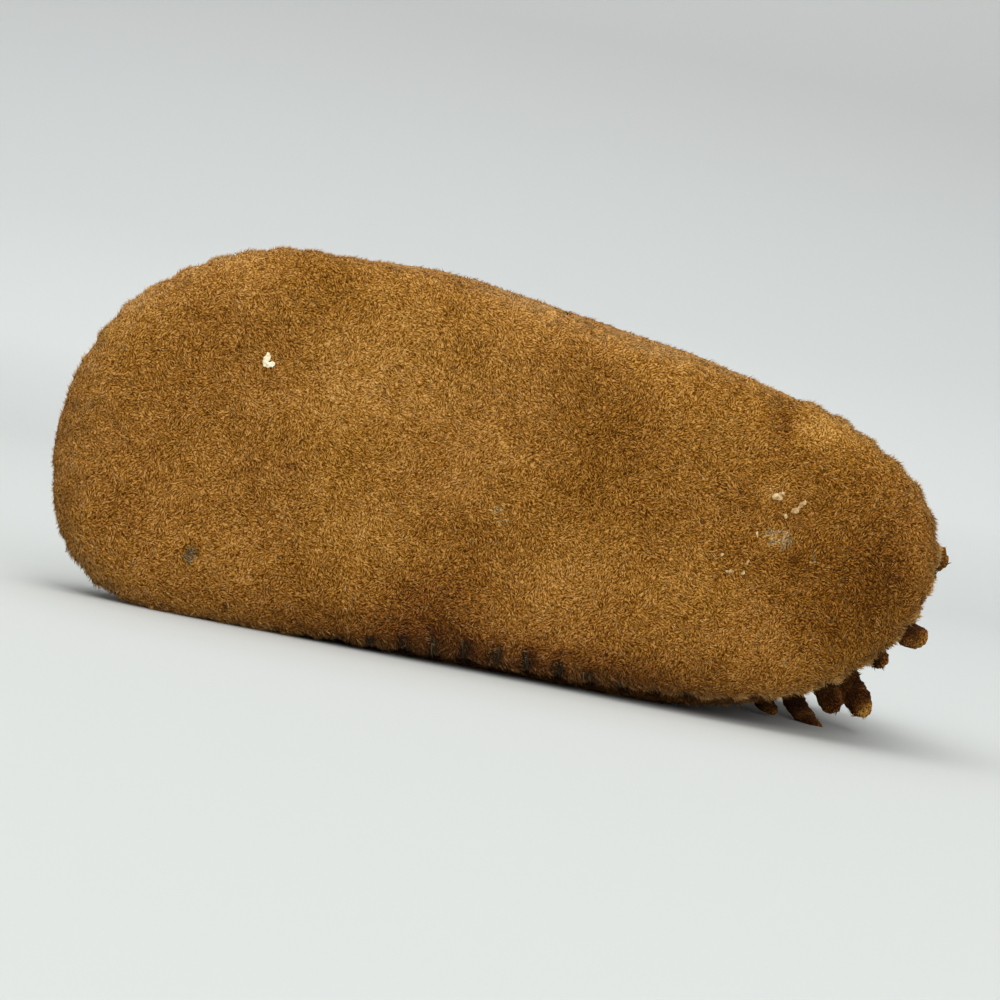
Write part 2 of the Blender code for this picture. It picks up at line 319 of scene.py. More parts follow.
def skin(node, name, voxel, soften=4):
    """A piece in the form of a CAD node, rounded and rebuilt from small even faces."""
    thing = plain_copy(node, name)
    applied(thing, "SUBSURF", levels=2, render_levels=2)
    applied(thing, "REMESH", mode="VOXEL", voxel_size=voxel)
    applied(thing, "SMOOTH", factor=0.5, iterations=soften)
    bpy.ops.object.shade_smooth()
    return thing


def relief(thing, height):
    """Moves a piece's points along their normals by height(points, normals)."""
    points, normals = points_of(thing.data), normals_of(thing.data)
    move_points(thing, points + normals * height(points, normals)[:, None])


def new_mesh(name, points, faces, material, uv=None):
    """A smooth piece from arrays, with the map that its finish reads."""
    mesh = bpy.data.meshes.new(name)
    mesh.from_pydata(points, [], faces)
    if uv is not None:
        layer = mesh.uv_layers.new(name="OFBake")
        corners = np.empty(len(mesh.loops), np.int32)
        mesh.loops.foreach_get("vertex_index", corners)
        layer.uv.foreach_set("vector", uv[corners].ravel())
    mesh.shade_smooth()
    mesh.materials.append(material)
    thing = bpy.data.objects.new(name, mesh)
    bpy.context.collection.objects.link(thing)
    return thing


def tree_of(thing):
    return BVHTree.FromObject(thing, bpy.context.evaluated_depsgraph_get())


# ---------------------------------------------------------------- colour over the shoe


class Patch(NamedTuple):
    """A soft patch on the sole's bottom, in millimetres on the shoe's axes."""

    along: float
    across: float
    reach_along: float
    reach_across: float
    tone: float  # how much lighter it is
    warmth: float  # how much redder it is
    pale: float  # how far it is rubbed grey


# Partly painted light and shade: the darker, redder band along the inner edge, the darker heel and the
# dark crease near the heel's outer side are painted shade, and the light swell beside that crease a
# painted highlight. The rest are the suede's own tone and pale marks.
PATCHES = (
    Patch(-39.0, -6.5, 7.0, 7.0, -0.09, 0.06, 0.0),
    Patch(-22.0, 15.0, 15.0, 8.0, 0.05, 0.00, 0.0),
    Patch(1.5, -3.0, 2.4, 2.0, 0.06, 0.00, 0.7),
    Patch(47.3, 1.5, 2.7, 2.0, 0.17, 0.00, 1.1),
    Patch(45.4, 8.8, 2.2, 1.6, 0.08, 0.00, 0.7),
    Patch(53.8, -0.4, 1.9, 1.4, 0.03, 0.00, 0.65),
    Patch(51.0, 20.5, 5.5, 3.2, 0.11, -0.10, 0.0),
    Patch(44.5, 21.0, 2.6, 5.0, -0.10, 0.15, 0.0),
    Patch(-8.0, -20.5, 9.0, 6.0, -0.10, 0.30, 0.0),
    Patch(6.0, -26.5, 44.0, 4.5, -0.14, 0.42, 0.0),
    Patch(4.0, -29.5, 26.0, 2.6, -0.20, 0.45, 0.0),
    Patch(67.0, -4.0, 7.0, 22.0, -0.06, 0.12, 0.0),
    Patch(62.0, -2.0, 18.0, 26.0, -0.13, 0.02, 0.0),
    Patch(24.0, 2.0, 16.0, 14.0, -0.08, 0.04, 0.0),
    Patch(56.0, -9.0, 9.0, 9.0, -0.05, 0.02, 0.0),
    Patch(-36.8, -3.6, 1.6, 1.2, 0.06, 0.0, 0.5),
    Patch(-34.8, -2.0, 2.0, 1.6, -0.04, 0.28, 0.0),
    Patch(40.0, -10.0, 20.0, 6.0, 0.04, -0.05, 0.0),
    Patch(-58.0, -14.0, 9.0, 12.0, -0.04, 0.08, 0.0),
    Patch(-48.5, -19.3, 1.3, 1.8, -0.34, -0.20, 1.15),
)


class Look(NamedTuple):
    """How one piece of suede looks before its stains and wear."""

    tone: float
    warmth: float
    blotched_and_shaded: float  # how blotchy its low end behind the heel is, and how much painted shade and light its strips get there


def store(mesh, name, values):
    """Keeps a number for each of a mesh's points."""
    layer = mesh.attributes.new(name, "FLOAT", "POINT")
    layer.data.foreach_set("value", values.astype(np.float32))


def mark_edges_and_creases(thing):
    """Keeps how far each of a skin's points stands out: 1 on a sharp edge, -1 in a crease. It lightens
    edges as wear and darkens creases with painted shade.
    """
    mesh = thing.data
    ends = np.empty(len(mesh.edges) * 2, np.int32)
    mesh.edges.foreach_get("vertices", ends)
    first, second = ends.reshape(-1, 2).T
    points = points_of(mesh)
    number = np.bincount(ends, minlength=len(points))

    def around(rows):
        total = np.zeros_like(rows)
        np.add.at(total, first, rows[second])
        np.add.at(total, second, rows[first])
        return total / (number[:, None] if rows.ndim > 1 else number)

    out = np.einsum("ij,ij->i", points - around(points), normals_of(mesh))
    for _ in range(EDGE_CREASE_SPREAD):
        out = (out + around(out)) / 2
    store(mesh, "worn", np.tanh(out / EDGE_CREASE_DEPTH))


def edges_and_creases_of(mesh):
    """How far each of a skin's points stands out, as mark_edges_and_creases kept it."""
    values = np.empty(len(mesh.vertices), np.float32)
    mesh.attributes["worn"].data.foreach_get("value", values)
    return values


def colouring(points, worn, look, stitched):
    """(tone, warmth, paleness) of the suede at world points. stitched holds what soils it."""
    along, up, across = shoe(points).T / MM
    tone = look.tone + 0.08 * rumple(points, 18 * MM, 3, 2) + 0.05 * rumple(points, 3.5 * MM, 4, 2)
    warmth = look.warmth + 0.14 * rumple(points, 24 * MM, 5, 2)

    # Worn edges are lighter, and creases darker with painted shade
    tone += np.where(worn > 0, 0.10, 0.16) * worn
    warmth -= 0.10 * worn

    # Soft patches on the sole: its own tone and pale marks, and some painted light and shade
    pale = np.zeros(len(points))
    on_sole = 1 - fade(up, 7, 11)
    for patch in PATCHES:
        off_along = (along - patch.along) / patch.reach_along
        off_across = (across - patch.across) / patch.reach_across
        share = np.exp(-(off_along**2) - off_across**2) * on_sole
        tone += patch.tone * share
        warmth += patch.warmth * share
        pale += patch.pale * share * (1 + 1.1 * rumple(points, 1.2 * MM, 6))

    # Painted shadow: the inner side of upper and cuff, which lies towards the floor, is darker and browner
    shaded_inner_side = (1 - on_sole) * (1 - fade(across, -20, 8))
    tone -= 0.15 * shaded_inner_side
    warmth += 0.34 * shaded_inner_side

    # The cut strips are blotched behind the heel, with painted shade where they lie close to the shoe and
    # a painted highlight at their tips
    ends = look.blotched_and_shaded * (1 - fade(up, 40, 48)) * fade(along, 46, 58)
    blotches = rumple(points, 4.2 * MM, 7, 2)
    lit_tips = 1 - fade(up, 31, 37)
    tone += ends * (0.30 * blotches - 0.10 + 0.15 * lit_tips)
    warmth += ends * (0.25 - 0.75 * blotches - 0.45 * lit_tips)

    # Round the sole's edge: a painted highlight on the outer side, which faces up to the light, and rubbed
    # paler low down at the heel
    rim = fade(up, 1.5, 5) * (1 - fade(up, 11, 16)) * fade(across, 4, 22)
    tone += 0.11 * rim
    hem = fade(up, 3.5, 5.5) * (1 - fade(up, 7.5, 10)) * (1 - fade(across, 4, 18))
    hem *= fade(along, 28, 46)
    tone += 0.30 * hem
    warmth -= 0.20 * hem

    # Dark wax round the stitches
    near = np.array([stitched.find(Vector(point))[2] for point in points])
    soil = np.exp(-((near / SOIL_REACH) ** 2)) * (1 - 0.85 * rim)
    return tone - 0.24 * soil, warmth + 0.30 * soil, pale


def coarseness(points):
    """0 where the nap is fine, to 1 along the inner edge and round the heel, where it curls."""
    along, _, across = shoe(points).T / MM
    heel = fade(along - 0.4 * across, 30, 62)
    inner = 1 - fade(across, -27, -12)
    patchy = 0.75 + 0.5 * rumple(points, 9 * MM, 42)
    return np.maximum(0.5 * heel, inner) * patchy


def colour_map(tone, warmth, pale):
    """Places on the nap's colour chart: across it from dark to light, and up it from grey to red."""
    up = CHART_GOLDEN + (CHART_MAROON - CHART_GOLDEN) * np.clip(warmth, 0, 1)
    up = np.where(pale > 0.5, CHART_GREY, up)
    return np.stack([np.clip(tone, 0.02, 0.98), up], axis=1)


# ---------------------------------------------------------------- finishes


GOLDEN = (
    (0.00, (0.052, 0.0150, 0.0004)),
    (0.28, (0.192, 0.0740, 0.0045)),
    (0.52, (0.420, 0.1980, 0.0330)),
    (0.76, (0.665, 0.3830, 0.1220)),
    (1.00, (0.820, 0.5500, 0.2400)),
)
MAROON = (
    (0.00, (0.016, 0.0050, 0.0020)),
    (0.28, (0.085, 0.0220, 0.0060)),
    (0.52, (0.225, 0.0730, 0.0160)),
    (0.76, (0.440, 0.1850, 0.0600)),
    (1.00, (0.720, 0.4200, 0.2200)),
)
GREY = (
    (0.00, (0.044, 0.0350, 0.0240)),
    (0.13, (0.090, 0.0640, 0.0360)),
    (0.30, (0.180, 0.1050, 0.0340)),
    (0.50, (0.380, 0.2250, 0.0860)),
    (0.72, (0.640, 0.4300, 0.2100)),
    (1.00, (0.860, 0.6500, 0.4000)),
)
THREAD = (
    (0.00, (0.005, 0.0050, 0.0040)),
    (0.55, (0.024, 0.0180, 0.0090)),
    (1.00, (0.170, 0.1300, 0.0720)),
)
CLEAN_FLECK = ((0.34, (0.56, 0.40, 0.18)), (0.46, (0.84, 0.72, 0.46)), (0.62, (0.94, 0.90, 0.70)))
STAINED_FLECK = ((0.36, (0.29, 0.15, 0.05)), (0.48, (0.47, 0.29, 0.12)), (0.64, (0.72, 0.54, 0.29)))
PAPER_LIGHT_AND_SHADE = (
    (0.00, (0.600, 0.624, 0.612)),
    (0.03, (0.645, 0.668, 0.662)),
    (0.21, (0.570, 0.592, 0.588)),
    (0.52, (0.515, 0.531, 0.529)),
    (0.80, (0.455, 0.464, 0.458)),
    (1.00, (0.475, 0.485, 0.475)),
)


def value_socket(group, name, kind, in_out, default=None):
    """A named input or output of a shader node group."""
    socket = group.interface.new_socket(name=name, in_out=in_out, socket_type=kind)
    if default is not None:
        socket.default_value = default


def add(tree, kind, inputs, **settings):
    """A shader node. Each of its inputs gets a value, or the socket that feeds it."""
    node = tree.nodes.new("ShaderNode" + kind)
    for name, value in settings.items():
        setattr(node, name, value)
    for place, given in inputs.items():
        if isinstance(given, bpy.types.NodeSocket):
            tree.links.new(given, node.inputs[place])
        else:
            node.inputs[place].default_value = given
    return node


def ramp(tree, stops, level):
    """The colour at a level of a band with these (place, colour) stops."""
    node = add(tree, "ValToRGB", {"Fac": level})
    band = node.color_ramp
    band.elements[0].position, band.elements[0].color = stops[0][0], (*stops[0][1], 1)
    band.elements[1].position, band.elements[1].color = stops[-1][0], (*stops[-1][1], 1)
    for place, colour in stops[1:-1]:
        band.elements.new(place).color = (*colour, 1)
    return node.outputs["Color"]


def colour_group(name):
    """A group that turns tone and warmth into a colour, with its first and last nodes."""
    group = bpy.data.node_groups.new(name, "ShaderNodeTree")
    value_socket(group, "Tone", "NodeSocketFloat", "INPUT", 0.5)
    value_socket(group, "Warmth", "NodeSocketFloat", "INPUT", 0.5)
    value_socket(group, "Colour", "NodeSocketColor", "OUTPUT")
    return group, group.nodes.new("NodeGroupInput"), group.nodes.new("NodeGroupOutput")


def blended(group, level, low, high, first, second):
    """The first colour while level is under low, and the second once it is over high."""
    share = add(group, "MapRange", {"Value": level, "From Min": low, "From Max": high})
    inputs = {"Factor": share.outputs["Result"], "A": first, "B": second}
    return add(group, "Mix", inputs, data_type="RGBA").outputs["Result"]


def suede_colours():
    """Suede: golden to maroon as its warmth rises, and grey at the foot of the chart."""
    group, start, end = colour_group("suede_colour")
    tone, warmth = start.outputs["Tone"], start.outputs["Warmth"]
    golden, maroon, grey = (ramp(group, stops, tone) for stops in (GOLDEN, MAROON, GREY))
    warm = blended(group, warmth, CHART_GOLDEN, CHART_MAROON, golden, maroon)
    group.links.new(blended(group, warmth, GREY_END, GOLDEN_START, grey, warm), end.inputs["Colour"])
    return group


def thread_colours():
    """Dark waxed thread, from near black to a dusty brown."""
    group, start, end = colour_group("thread_colour")
    group.links.new(ramp(group, THREAD, start.outputs["Tone"]), end.inputs["Colour"])
    return group


def suede_grain():
    """Fine strokes of the suede's own grain, on Object coordinates, lying as its nap does."""
    group = bpy.data.node_groups.new("suede_grain", "ShaderNodeTree")
    value_socket(group, "Fineness", "NodeSocketFloat", "INPUT", GRAIN_FINENESS)
    value_socket(group, "Along", "NodeSocketVector", "INPUT")
    value_socket(group, "Shift", "NodeSocketFloat", "OUTPUT")
    value_socket(group, "Height", "NodeSocketFloat", "OUTPUT")
    start, end = group.nodes.new("NodeGroupInput"), group.nodes.new("NodeGroupOutput")

    def moved(direction, distance, place):
        inputs = {0: direction, 1: (distance, distance, distance), 2: place}
        return add(group, "VectorMath", inputs, operation="MULTIPLY_ADD").outputs["Vector"]

    place = add(group, "TexCoord", {}).outputs["Object"]
    bend = add(group, "TexNoise", {"Vector": place, "Scale": GRAIN_CURLS, "Detail": 0.0})
    curled = moved(bend.outputs["Color"], GRAIN_BEND, place)
    total = None
    for step in (-2, -1, 0, 1, 2):
        speck = add(group, "TexNoise", {
            "Vector": moved(start.outputs["Along"], step * GRAIN_STEP, curled),
            "Scale": start.outputs["Fineness"],
            "Detail": 1.0,
            "Roughness": 0.6,
        }).outputs["Fac"]
        if total is None:
            total = speck
        else:
            total = add(group, "Math", {0: total, 1: speck}, operation="ADD").outputs["Value"]
    shift = add(group, "MapRange", {
        "Value": total,
        "From Min": GRAIN_LOW,
        "From Max": GRAIN_HIGH,
        "To Min": -GRAIN_CONTRAST,
        "To Max": GRAIN_CONTRAST,
    })
    group.links.new(shift.outputs["Result"], end.inputs["Shift"])
    group.links.new(total, end.inputs["Height"])
    return group


def principled(name, roughness, **constants):
    """A material, its node tree and its shader, with constants on the shader's own sockets."""
    material = bpy.data.materials.new(name)
    material.use_nodes = True
    shader = material.node_tree.nodes["Principled BSDF"]
    shader.inputs["Roughness"].default_value = roughness
    for socket, value in constants.items():
        shader.inputs[socket.replace("_", " ")].default_value = value
    return material, material.node_tree, shader


def nap_finish(name, colours):
    """Fibres, coloured from the chart that their map reads."""
    material, tree, shader = principled(
        name, 0.85, Specular_IOR_Level=0.08, Sheen_Weight=0.10, Sheen_Roughness=0.45, Sheen_Tint=SHEEN
    )
    chart = add(tree, "UVMap", {}, uv_map="OFBake")
    split = add(tree, "SeparateXYZ", {"Vector": chart.outputs["UV"]})
    inputs = {"Tone": split.outputs["X"], "Warmth": split.outputs["Y"]}
    colour = add(tree, "Group", inputs, node_tree=colours)
    tree.links.new(colour.outputs["Colour"], shader.inputs["Base Color"])
    return material


def suede_finish(name, colours, grain):
    """The ground under the nap, coloured from the piece's own tone and warmth."""
    material, tree, shader = principled(
        name, 0.95, Specular_IOR_Level=0.05, Sheen_Weight=0.08, Sheen_Roughness=0.5, Sheen_Tint=SHEEN
    )
    tone, warmth, along = (
        add(tree, "Attribute", {}, attribute_name=kept) for kept in ("tone", "warmth", "along_nap")
    )
    strokes = {"Fineness": GRAIN_FINENESS, "Along": along.outputs["Vector"]}
    speckle = add(tree, "Group", strokes, node_tree=grain)
    shade = add(tree, "Math", {0: tone.outputs["Fac"], 1: speckle.outputs["Shift"]}, operation="ADD")
    inputs = {"Tone": shade.outputs["Value"], "Warmth": warmth.outputs["Fac"]}
    colour = add(tree, "Group", inputs, node_tree=colours)
    lumps = add(tree, "Bump", {
        "Strength": GRAIN_BUMP,
        "Distance": GRAIN_HEIGHT,
        "Height": speckle.outputs["Height"],
    })
    tree.links.new(colour.outputs["Colour"], shader.inputs["Base Color"])
    tree.links.new(lumps.outputs["Normal"], shader.inputs["Normal"])
    return material


def fleck_finish(name, stops):
    """Chalky cream, more or less stained."""
    material, tree, shader = principled(name, 0.8, Specular_IOR_Level=0.3)
    place = add(tree, "TexCoord", {}).outputs["Object"]
    stains = add(tree, "TexNoise", {"Vector": place, "Scale": FLECK_STAINS, "Detail": 4.0})
    tree.links.new(ramp(tree, stops, stains.outputs["Fac"]), shader.inputs["Base Color"])
    return material


def shaded(thing, material, look, stitched):
    """Gives a skin its finish, with its colouring kept in its points."""
    thing.data.materials.clear()
    thing.data.materials.append(material)
    mark_edges_and_creases(thing)
    points = points_of(thing.data)
    tone, warmth, pale = colouring(points, edges_and_creases_of(thing.data), look, stitched)
    chart = colour_map(tone, warmth, pale)
    store(thing.data, "tone", chart[:, 0])
    store(thing.data, "warmth", chart[:, 1])
    along, _ = flow(points, normals_of(thing.data))
    layer = thing.data.attributes.new("along_nap", "FLOAT_VECTOR", "POINT")
    layer.data.foreach_set("vector", along.astype(np.float32).ravel())


# ---------------------------------------------------------------- nap


def scatter(thing, count, seed, keep):
    """(points, normals, how far they stand out, for edge wear and crease shade) spread evenly over a skin,
    as densely as keep(points, normals) says.
    """
    mesh = thing.data
    mesh.calc_loop_triangles()
    corners = np.empty(len(mesh.loop_triangles) * 3, np.int32)
    mesh.loop_triangles.foreach_get("vertices", corners)
    corners = corners.reshape(-1, 3)
    points, normals = points_of(mesh), normals_of(mesh)
    a, b, c = (points[corners[:, k]] for k in range(3))
    area = np.linalg.norm(np.cross(b - a, c - a), axis=1)
    area *= keep((a + b + c) / 3, unit(normals[corners].sum(axis=1)))
    rng = np.random.default_rng(seed)
    chosen = rng.choice(len(corners), count, p=area / area.sum())
    first, second = np.sqrt(rng.random(count)), rng.random(count)
    shares = np.stack([1 - first, first * (1 - second), first * second], axis=1)
    picked = corners[chosen]
    where = (points[picked] * shares[:, :, None]).sum(axis=1)
    facing = unit((normals[picked] * shares[:, :, None]).sum(axis=1))
    return where, facing, (edges_and_creases_of(mesh)[picked] * shares).sum(axis=1)


def flow(points, normals):
    """Directions along and across the nap: combed towards the heel, in broad and narrow swirls."""
    heelwards = WORLD_ROWS[:3, 0]
    forward = unit(heelwards - normals * (normals @ heelwards)[:, None])
    sideways = np.cross(normals, forward)
    angle = 2.2 * rumple(points, 15 * MM, 40) + 2.4 * rumple(points, 2.6 * MM, 41)  # radians
    along, across = np.cos(angle)[:, None], np.sin(angle)[:, None]
    return forward * along + sideways * across, sideways * along - forward * across


def lay(points, normals, seed, jitter):
    """Directions in which tufts lie: with the flow of the nap, but for some disorder."""
    forward, sideways = flow(points, normals)
    angle = np.random.default_rng(seed).normal(0, jitter, len(points))[:, None]
    return forward * np.cos(angle) + sideways * np.sin(angle)


class Pile(NamedTuple):
    """One sort of fibre in a piece's nap."""

    name: str
    count: int
    length: float
    width: float
    lift: float  # how far it stands up, as a share of its length
    bends: int
    tone: float  # how much lighter it is than the suede
    spread: float  # how much its fibres differ in tone
    contrast: float  # how much lighter its tips are than its roots: painted light at the tips, painted shade at the roots


SOLE_PILES = (
    Pile("sole_nap", 49500, 0.58 * MM, 0.19 * MM, 0.36, 0, 0.04, 0.14, 0.60),
    Pile("sole_nap_wisps", 4500, 0.95 * MM, 0.15 * MM, 0.50, 1, 0.04, 0.14, 0.44),
)
SOLE_RIM_PILES = (Pile("sole_rim_nap", 24000, 0.80 * MM, 0.15 * MM, 0.62, 0, 0.08, 0.14, 0.50),)
UPPER_PILES = (Pile("upper_nap", 33000, 0.70 * MM, 0.24 * MM, 0.34, 0, 0.00, 0.10, 0.36),)
UPPER_RIM_PILES = (Pile("upper_rim_nap", 9000, 0.80 * MM, 0.15 * MM, 0.62, 0, 0.08, 0.14, 0.50),)
CUFF_PILES = (Pile("cuff_nap", 21000, 0.70 * MM, 0.24 * MM, 0.34, 0, 0.00, 0.10, 0.36),)


def fibres(name, roots, normals, forward, pile, chart, material, seed):
    """Closed tapered fibres, lying over as their directions say."""
    count = len(roots)
    rng = np.random.default_rng(seed)
    length = pile.length * rng.uniform(0.55, 1.35, count)
    length *= 1 + COARSE_LENGTH * coarseness(roots)
    width = pile.width * rng.uniform(0.7, 1.3, count)
    lift = length * np.clip(rng.normal(pile.lift, 0.15, count), 0.04, 0.95)
    curl = rng.normal(0, 0.25, count) * length
    sideways = np.cross(normals, forward)
    contrast = pile.contrast * (1 + COARSE_CONTRAST * coarseness(roots))
    rings = pile.bends + 1
    points = np.empty((count, 3 * rings + 1, 3))
    uv = np.empty((count, 3 * rings + 1, 2))
    for ring in range(rings + 1):
        share = ring / rings
        middle = roots + forward * (length * share)[:, None]
        middle += normals * (lift * share**1.4 - ROOT_DEPTH)[:, None]
        middle += sideways * (curl * share**2)[:, None]
        # Painted shade towards the root and painted light towards the tip
        shade = chart + np.outer(contrast * (share - 0.4), (1, 0))
        if ring == rings:
            points[:, -1] = middle
            uv[:, -1] = shade
            continue
        half = (width * (0.5 - 0.22 * share))[:, None]
        for corner, (side, rise) in enumerate(((-1, 0), (1, 0), (0, 1.1))):
            lean = forward * (0.25 * rise * length / rings)[:, None]
            points[:, 3 * ring + corner] = middle + sideways * half * side + normals * half * rise + lean
            uv[:, 3 * ring + corner] = shade + (0.02 * rise, 0.015 * side)
    faces = [(0, 1, 2)]
    for ring in range(rings - 1):
        low, high = 3 * ring, 3 * ring + 3
        for corner in range(3):
            beside = (corner + 1) % 3
            faces.append((low + corner, high + corner, high + beside))
            faces.append((low + corner, high + beside, low + beside))
    last = 3 * (rings - 1)
    faces += [(last + corner, 3 * rings, last + (corner + 1) % 3) for corner in range(3)]
    step = (np.arange(count) * (3 * rings + 1))[:, None, None]
    faces = (np.array(faces)[None] + step).reshape(-1, 3)
    points = points.reshape(-1, 3)
    points[:, 2] = np.maximum(points[:, 2], 0.05 * MM)
    return new_mesh(name, points, faces, material, np.clip(uv.reshape(-1, 2), 0.003, 0.997))


def nap_chart(tufts, worn, seed, look, pile, stitched):
    """Each fibre's place on the colour chart, much alike within a tuft."""
    rng = np.random.default_rng(seed)
    tone, warmth, pale = colouring(tufts, worn, look, stitched)
    coarse = coarseness(tufts)
    spread = pile.spread * (1 + COARSE_SPREAD * coarse)
    tone = tone + pile.tone + rng.normal(0, 1, len(tufts)) * spread
    warmth = warmth + rng.normal(0, TUFT_WARMTH, len(tufts))
    # Painted highlight on the tufts curled up into the light, and painted shade on those between them
    curled = rng.random(len(tufts)) < CURLED_SHARE
    tone += np.where(curled, CURLED_TONE, SHADED_TONE) * coarse
    warmth += np.where(curled, CURLED_WARMTH, 0.0) * coarse
    pale = pale + rng.uniform(-0.45, 0.15, len(tufts)) * (pale > 0.02)
    tone, warmth, pale = (np.repeat(column, TUFT_FIBRES) for column in (tone, warmth, pale))
    return colour_map(tone + rng.normal(0, FIBRE_TONE, len(tone)), warmth, pale)


def tufted(tufts, normals, forward, seed):
    """Fibres' roots, normals and directions: a narrow row of fibres in each tuft."""
    rng = np.random.default_rng(seed)
    roots, normals, forward = (np.repeat(rows, TUFT_FIBRES, axis=0) for rows in (tufts, normals, forward))
    sideways = np.cross(normals, forward)
    count = len(roots)
    roots = roots + forward * rng.uniform(-TUFT_LENGTH / 2, TUFT_LENGTH / 2, count)[:, None]
    roots += sideways * rng.normal(0, TUFT_WIDTH / 2, count)[:, None]
    angle = rng.normal(0, 0.22, count)[:, None]
    return roots, normals, forward * np.cos(angle) + sideways * np.sin(angle)


def outside(points, normals):
    """1 where a skin faces away from the shoe's inner lines."""
    return (np.einsum("ij,ij->i", from_core(points), normals) > 0).astype(float)


def on_rim(points, normals):
    """Round the sole's edge, where the nap shows against what is behind it."""
    up = shoe(points)[:, 1] / MM
    return outside(points, normals) * fade(up, 2, 5) * (1 - fade(up, 8, 10))


def by_seam(points, normals):
    """On the upper's side, just above its seam with the sole."""
    up = shoe(points)[:, 1] / MM
    return outside(points, normals) * fade(up, 8, 10) * (1 - fade(up, 16, 24))


def below_rim(points, normals):
    """All over the cuff, but thin on its cut upper edge."""
    return 1 - 0.75 * fade(shoe(points)[:, 1], 82 * MM, 84 * MM)


def add_nap(thing, piles, seed, keep, look, material, stitched):
    """Each sort of fibre over a skin."""
    pieces = []
    for pile in piles:
        tufts, normals, worn = scatter(thing, pile.count // TUFT_FIBRES, seed, keep)
        forward = lay(tufts, normals, seed + 3, 0.25)
        chart = nap_chart(tufts, worn, seed + 1, look, pile, stitched)
        roots, normals, forward = tufted(tufts, normals, forward, seed + 4)
        pieces.append(fibres(pile.name, roots, normals, forward, pile, chart, material, seed + 2))
        seed += 5
    return pieces


# ---------------------------------------------------------------- seams and stitches


def level_loop(thing, height, spacing):
    """Evenly spaced places round a piece's outer side at one height, with inward directions."""
    copy = bpy.data.objects.new("loop", thing.data.copy())
    bpy.context.collection.objects.link(copy)
    only(copy)
    bpy.ops.object.mode_set(mode="EDIT")
    bpy.ops.mesh.select_all(action="SELECT")
    origin = TO_WORLD @ Vector((0, height, 0))
    upwards = TO_WORLD.to_3x3() @ Vector((0, 1, 0))
    bpy.ops.mesh.bisect(plane_co=origin, plane_no=upwards, clear_inner=True, clear_outer=True)
    bpy.ops.object.mode_set(mode="OBJECT")
    ring = shoe(points_of(copy.data))[:, (0, 2)]
    bpy.data.objects.remove(copy)
    middle = ring.mean(axis=0)
    bearing = np.arctan2(ring[:, 1] - middle[1], ring[:, 0] - middle[0])
    radius = np.linalg.norm(ring - middle, axis=1)
    slots = 720  # half a degree each
    slot = ((bearing / (2 * math.pi) + 0.5) * slots).astype(int) % slots
    outer = np.zeros(slots)
    np.maximum.at(outer, slot, radius)
    known = np.nonzero(outer)[0]
    outer = np.interp(np.arange(slots), known, outer[known], period=slots)
    angles = ((np.arange(slots) + 0.5) / slots - 0.5) * 2 * math.pi
    edge = middle + np.stack([np.cos(angles), np.sin(angles)], axis=1) * outer[:, None]
    for _ in range(6):
        edge = (np.roll(edge, 1, axis=0) + 2 * edge + np.roll(edge, -1, axis=0)) / 4
    lengths = np.linalg.norm(np.roll(edge, -1, axis=0) - edge, axis=1)
    total = lengths.sum()
    run = np.concatenate([[0], np.cumsum(lengths)])
    closed = np.vstack([edge, edge[:1]])
    count = round(total / spacing)
    stations = np.arange(count) * total / count
    places = between(stations, run, closed)
    ahead = np.roll(places, -1, axis=0) - np.roll(places, 1, axis=0)
    inwards = unit(np.stack([-ahead[:, 1], ahead[:, 0]], axis=1))
    return places, inwards


def snapped(points, trees, heights):
    """World points moved onto the outermost of the surfaces, and then off it by heights."""
    reach = 8 * MM
    moved = []
    for point, outwards, height in zip(points, unit(from_core(points)), heights):
        start, inwards = Vector(point + outwards * reach), Vector(-outwards)
        found = [tree.ray_cast(start, inwards, 2 * reach) for tree in trees]
        found = [hit for hit in found if hit[0] is not None]
        if not found:
            found = [tree.find_nearest(Vector(point)) for tree in trees]
        place, normal, _, _ = min(found, key=lambda hit: (hit[0] - start).length)
        moved.append(place + normal * height)
    moved = np.array(moved)
    moved[:, 2] = np.maximum(moved[:, 2], 1.5 * STRAND_RADIUS)
    return moved


def along_outline(inwards):
    """Level directions along an outline, square to its inward ones."""
    return np.stack([inwards[:, 1], -inwards[:, 0]], axis=1)


def tubes(name, paths, charts, material):
    """Closed round strands along the paths, as one piece. Each has its place on the colour chart."""
    points, faces, places = [], [], []
    turns = [2 * math.pi * side / STRAND_SIDES for side in range(STRAND_SIDES)]
    for path, chart in zip(paths, charts):
        steps = unit(np.gradient(path, axis=0))
        start = len(points)
        beside = np.cross(steps[0], (0.31, 0.87, 0.38))
        for index, (point, step) in enumerate(zip(path, steps)):
            beside = beside - step * (beside @ step)
            beside /= np.linalg.norm(beside)
            over = np.cross(step, beside)
            thin = 0.45 if index in (0, len(path) - 1) else 1.0
            for turn in turns:
                out = beside * math.cos(turn) + over * math.sin(turn)
                points.append(point + out * STRAND_RADIUS * thin)
                places.append(chart + np.array((0.03 * math.cos(turn), 0.02 * math.sin(turn))))
        for ring in range(len(path) - 1):
            low, high = start + ring * STRAND_SIDES, start + (ring + 1) * STRAND_SIDES
            for side in range(STRAND_SIDES):
                beyond = (side + 1) % STRAND_SIDES
                faces.append((low + side, low + beyond, high + beyond, high + side))
        last = start + (len(path) - 1) * STRAND_SIDES
        faces.append(tuple(start + side for side in reversed(range(STRAND_SIDES))))
        faces.append(tuple(last + side for side in range(STRAND_SIDES)))
    return new_mesh(name, np.array(points), faces, material, np.array(places))


class Bite(NamedTuple):
    """A point of a whip stitch over the sole's seam."""

    inset: float  # from the sole's outline, millimetres
    climb: float  # from the seam: millimetres above it, or the share of its height below it
    off: float  # how far the thread lies off the suede, in strand radii


